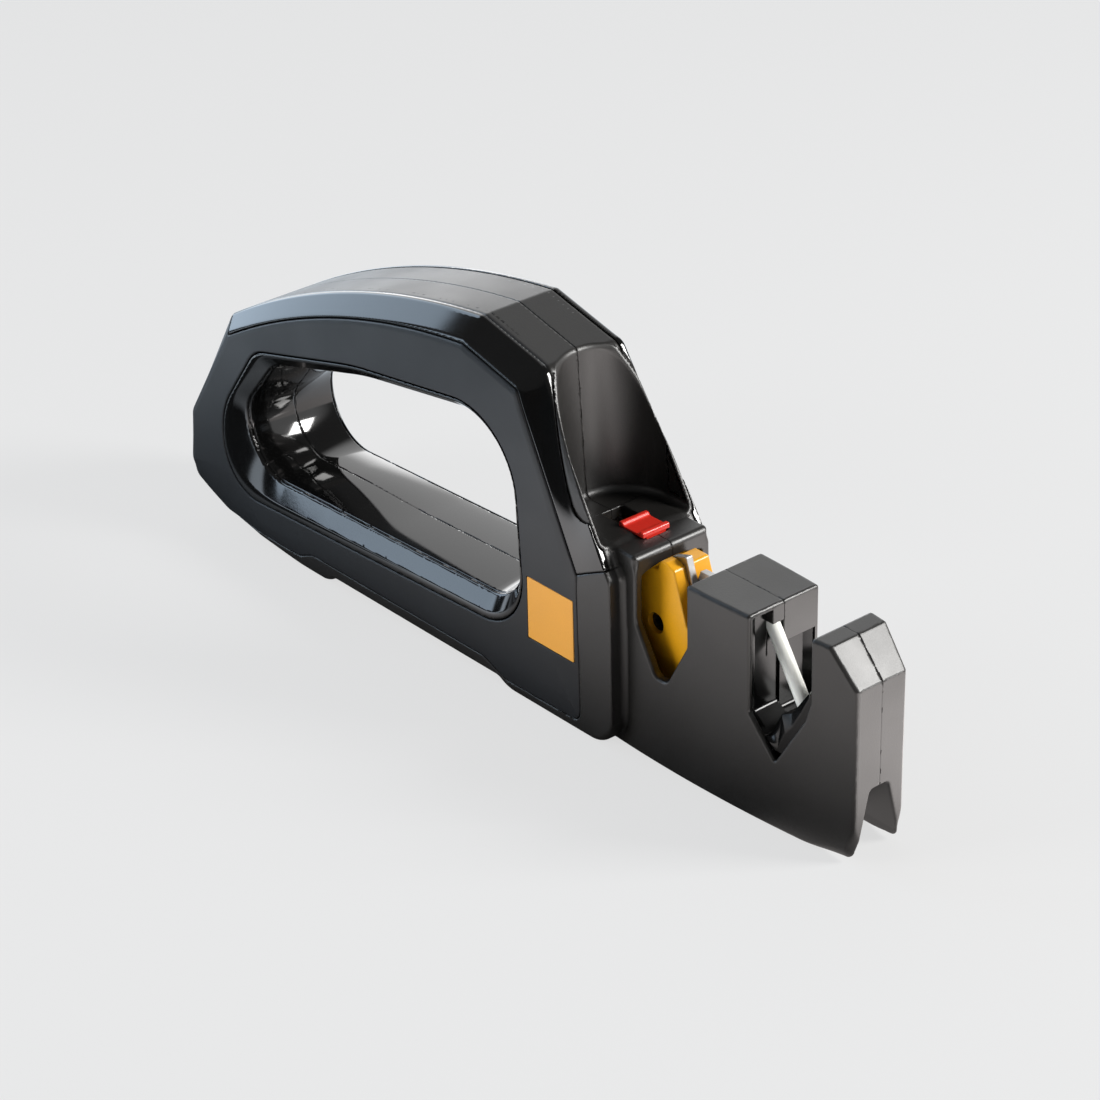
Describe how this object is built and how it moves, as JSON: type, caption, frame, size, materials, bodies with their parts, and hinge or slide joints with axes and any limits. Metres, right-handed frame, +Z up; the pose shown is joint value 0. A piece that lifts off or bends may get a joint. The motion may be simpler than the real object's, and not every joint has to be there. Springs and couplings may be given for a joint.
{
  "type": "knife and tool sharpener",
  "caption": "Handheld pull-through sharpener with a closed loop handle, a rocking carbide carrier, crossed ceramic rods and a small lock slider.",
  "frame": {"origin": "centre of the bounding box at the table, z = 0 at the flat undersides", "axes": "+X from the handle to the nose, +Z up, +Y to the left side; the middle split of the case is y = 0"},
  "size_m": [0.2241, 0.03, 0.088],
  "materials": {
    "case_matte": "fine matte texture",
    "soft_grip": "soft-touch satin",
    "gloss_black": "polished",
    "badge_orange": "satin",
    "slider_red": "satin",
    "carrier_yellow": "satin",
    "carbide": "ground",
    "steel": "plain",
    "ceramic": "fine ceramic, slightly rough"
  },
  "bodies": {
    "case": {"right_housing_half": "case_matte", "left_housing_half": "case_matte", "right_grip_panel": "soft_grip", "left_grip_panel": "soft_grip", "right_gloss_trim": "gloss_black", "left_gloss_trim": "gloss_black", "right_loop_liner": "gloss_black", "left_loop_liner": "gloss_black", "badge_plate": "badge_orange", "pivot_pin": "steel", "right_centring_spring": "steel", "left_centring_spring": "steel", "rod_holder": "gloss_black", "rear_ceramic_rod": "ceramic", "front_ceramic_rod": "ceramic", "housing_screws": "steel"},
    "slider": {"lock_slider": "slider_red"},
    "carrier": {"right_carrier_half": "carrier_yellow", "left_carrier_half": "carrier_yellow", "rear_carbide_plate": "carbide", "front_carbide_plate": "carbide", "carrier_clamp_screw": "steel"}
  },
  "joints": [
    {"name": "slider_slide", "type": "slide", "parent": "case", "child": "slider", "axis": [-1, 0, 0], "range_m": [0, 0.0065]},
    {"name": "carrier_rock", "type": "hinge", "parent": "case", "child": "carrier", "pos_m": [0.05, 0, 0.018], "axis": [1, 0, 0], "range_deg": [-7, 7], "stiffness_Nm_per_rad": 0.2, "deforming": ["right_centring_spring", "left_centring_spring"]}
  ]
}
